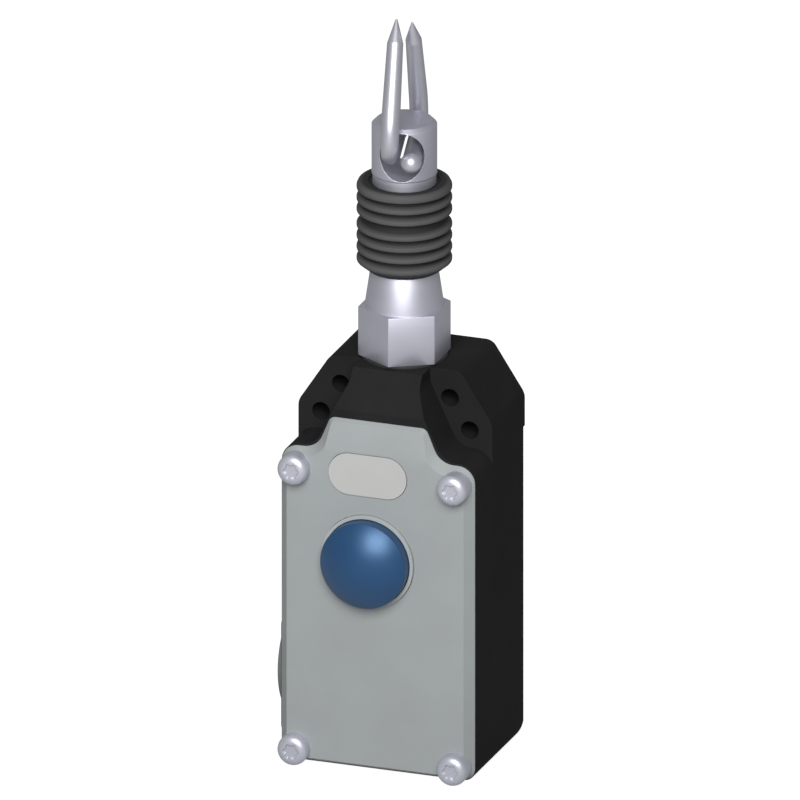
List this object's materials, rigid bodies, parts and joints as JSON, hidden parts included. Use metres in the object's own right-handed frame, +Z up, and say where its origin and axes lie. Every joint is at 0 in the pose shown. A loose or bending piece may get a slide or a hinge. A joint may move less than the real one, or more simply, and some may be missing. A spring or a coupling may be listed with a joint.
{
  "type": "rope pull switch",
  "caption": "Latching rope pull switch: boxy housing with a grey cover, blue reset button, window, ribbed bellows and a two-hook eye on a spring-loaded pull rod.",
  "frame": {"origin": "centre of the bottom cable entry on the housing's bottom face, on the pull rod's axis", "axes": "+Z up along the pull rod towards the hooks, +Y to the back (mounting side), +X to the right as seen from the cover"},
  "size_m": [0.0522, 0.0437, 0.1801],
  "materials": {
    "housing_moulding": "fine moulded grain, satin",
    "cover_paint": "satin grey",
    "button_blue": "smooth, semi-gloss",
    "window_plastic": "milky, smooth",
    "flag_plastic": "smooth",
    "inner_plastic": "moulded, satin",
    "bearing_plastic": "smooth",
    "grey_plastic": "smooth",
    "steel_turned": "zinc plated, turned",
    "steel_wire": "bright drawn wire",
    "steel_sheet": "zinc plated sheet",
    "screw_steel": "zinc plated",
    "contact_brass": "plain",
    "rubber": "matt"
  },
  "bodies": {
    "housing": {"housing_body": "housing_moulding", "front_cover": "cover_paint", "cover_gasket": "rubber", "indicator_window": "window_plastic", "cover_screws": "screw_steel", "reset_collar": "grey_plastic", "reset_seal": "rubber", "reset_spring": "steel_wire", "collar_plate": "steel_sheet", "collar_screws": "screw_steel", "guide_bush": "steel_turned", "bush_washer": "rubber", "bush_sleeve": "bearing_plastic", "rod_seal": "rubber", "bellows": "rubber", "main_spring": "steel_wire", "spring_washer": "steel_turned", "mechanism_frame": "steel_sheet", "frame_screws": "screw_steel", "lower_guide": "bearing_plastic", "latch_pin": "steel_turned", "latch_spring": "steel_wire", "terminal_screws": "screw_steel", "block_screws": "screw_steel", "earth_clamp": "contact_brass", "earth_screw": "screw_steel", "side_entry_plug": "grey_plastic", "plug_seal": "grey_plastic", "right_contact_block": "inner_plastic", "right_plunger_spring": "steel_wire", "right_fixed_contacts": "contact_brass", "left_contact_block": "inner_plastic", "left_plunger_spring": "steel_wire", "left_fixed_contacts": "contact_brass"},
    "rod": {"pull_rod": "steel_turned", "rod_head": "steel_turned", "spring_seat": "steel_turned", "seat_clip": "steel_sheet", "cam_sleeve": "bearing_plastic", "rod_nut": "screw_steel", "indicator_flag": "flag_plastic"},
    "reset": {"reset_button": "button_blue", "reset_stem": "steel_turned"},
    "latch": {"latch_lever": "steel_sheet"},
    "right_plunger": {"right_contact_plunger": "bearing_plastic", "right_contact_bridge": "contact_brass"},
    "left_plunger": {"left_contact_plunger": "bearing_plastic", "left_contact_bridge": "contact_brass"},
    "hook_front": {"front_hook": "steel_wire"},
    "hook_rear": {"rear_hook": "steel_wire"}
  },
  "joints": [
    {"name": "rod_pull", "type": "slide", "parent": "housing", "child": "rod", "axis": [0, 0, 1], "range_m": [0, 0.01], "stiffness_N_per_m": 2500, "springref_m": -0.01, "deforming": ["bellows", "main_spring"]},
    {"name": "reset_push", "type": "slide", "parent": "housing", "child": "reset", "axis": [0, 1, 0], "range_m": [0, 0.003], "stiffness_N_per_m": 800, "springref_m": -0.003, "deforming": ["reset_spring"]},
    {"name": "latch_swing", "type": "hinge", "parent": "housing", "child": "latch", "pos_m": [0, -0.012, 0.062], "axis": [1, 0, 0], "range_deg": [0, 17.91]},
    {"name": "right_plunger_slide", "type": "slide", "parent": "housing", "child": "right_plunger", "axis": [1, 0, 0], "range_m": [0, 0.0025], "deforming": ["right_plunger_spring"]},
    {"name": "left_plunger_slide", "type": "slide", "parent": "housing", "child": "left_plunger", "axis": [-1, 0, 0], "range_m": [0, 0.0025], "deforming": ["left_plunger_spring"]},
    {"name": "front_hook_swing", "type": "hinge", "parent": "rod", "child": "hook_front", "pos_m": [0, 0, 0.1487], "axis": [0.9677, 0.2521, 0], "range_deg": [0, 10]},
    {"name": "rear_hook_swing", "type": "hinge", "parent": "rod", "child": "hook_rear", "pos_m": [0, 0, 0.1487], "axis": [-0.9677, -0.2521, 0], "range_deg": [0, 10]}
  ],
  "couplings": [
    {"joint": "latch_swing", "follows": "reset_push", "rad_per_m": 104.17},
    {"joint": "right_plunger_slide", "follows": "rod_pull", "ratio": 0.25},
    {"joint": "left_plunger_slide", "follows": "rod_pull", "ratio": 0.25}
  ]
}
